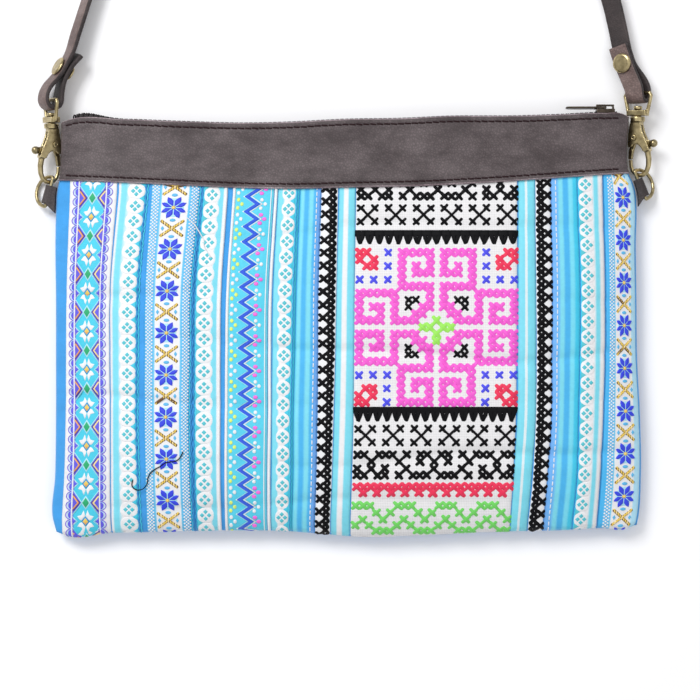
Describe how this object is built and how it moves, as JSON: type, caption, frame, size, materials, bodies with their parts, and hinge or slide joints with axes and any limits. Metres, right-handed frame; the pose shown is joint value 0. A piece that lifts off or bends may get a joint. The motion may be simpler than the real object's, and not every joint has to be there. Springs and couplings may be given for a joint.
{
  "type": "crossbody pouch bag",
  "caption": "Flat zip pouch of striped embroidered ribbons with a leather band, clip-on leather strap, swivel clasps and D-rings.",
  "frame": {"origin": "on the back face under the middle of the pouch, which lies flat on its back", "axes": "+X to the right of the embroidered front, +Y from the bottom seam to the zip and strap, +Z out of the front"},
  "size_m": [0.2997, 0.7276, 0.0224],
  "materials": {
    "cloth_blue": "matt cotton",
    "ribbon_weave": "satin-stitched ribbon",
    "even_weave": "white even-weave cotton with cross-stitch",
    "band_leather": "grained, satin",
    "strap_leather": "smooth, satin, dark edges",
    "brass": "antique brass",
    "zip_tape": "woven tape",
    "zip_coil": "moulded coil"
  },
  "bodies": {
    "root": {"front_panel": "cloth_blue", "ribbon_diamond": "ribbon_weave", "ribbon_clover_1": "ribbon_weave", "ribbon_flower_1": "ribbon_weave", "ribbon_clover_2": "ribbon_weave", "ribbon_zigzag": "ribbon_weave", "ribbon_clover_3": "ribbon_weave", "ribbon_ombre_1": "ribbon_weave", "ribbon_chain_1": "even_weave", "ribbon_stripe_1": "ribbon_weave", "ribbon_cross_stitch": "even_weave", "ribbon_stripe_2": "ribbon_weave", "ribbon_chain_2": "even_weave", "ribbon_ombre_2": "ribbon_weave", "ribbon_clover_4": "ribbon_weave", "ribbon_flower_2": "ribbon_weave", "leather_band_front": "band_leather", "back_panel": "cloth_blue", "leather_band_back": "band_leather", "zip_tape_front": "zip_tape", "zip_tape_back": "zip_tape", "zip_coil": "zip_coil", "zip_slider": "brass", "clasp_eye_left": "brass", "d_ring_left": "brass", "ring_tab_left": "band_leather", "strap_rivet_left": "brass", "clasp_eye_right": "brass", "d_ring_right": "brass", "ring_tab_right": "band_leather", "strap_rivet_right": "brass", "strap": "strap_leather"},
    "hook_left": {"clasp_hook_left": "brass", "clasp_pin_left": "brass"},
    "gate_left": {"clasp_gate_left": "brass"},
    "hook_right": {"clasp_hook_right": "brass", "clasp_pin_right": "brass"},
    "gate_right": {"clasp_gate_right": "brass"},
    "zip_pull": {"zip_pull": "brass"}
  },
  "joints": [
    {"name": "clasp_swivel_left", "type": "hinge", "parent": "root", "child": "hook_left", "pos_m": [-0.1418, 0.0943, 0.00587], "axis": [0, 0.9952, 0.0976], "range_deg": [-8, 8]},
    {"name": "clasp_gate_left", "type": "hinge", "parent": "hook_left", "child": "gate_left", "pos_m": [-0.14078, 0.0868, 0.0045], "axis": [0.5281, -0.0829, 0.8451], "range_deg": [-25, 0], "stiffness_Nm_per_rad": 0.01, "springref_deg": 11.46},
    {"name": "clasp_swivel_right", "type": "hinge", "parent": "root", "child": "hook_right", "pos_m": [0.1399, 0.0976, 0.00587], "axis": [0, 0.9952, 0.0976], "range_deg": [-8, 8]},
    {"name": "clasp_gate_right", "type": "hinge", "parent": "hook_right", "child": "gate_right", "pos_m": [0.13888, 0.0901, 0.0045], "axis": [0.5281, 0.0829, -0.8451], "range_deg": [-25, 0], "stiffness_Nm_per_rad": 0.01, "springref_deg": 11.46},
    {"name": "zip_pull_tilt", "type": "hinge", "parent": "root", "child": "zip_pull", "pos_m": [0.12404, 0.10407, 0.00675], "axis": [0, 0, 1], "range_deg": [-100, 0]}
  ]
}
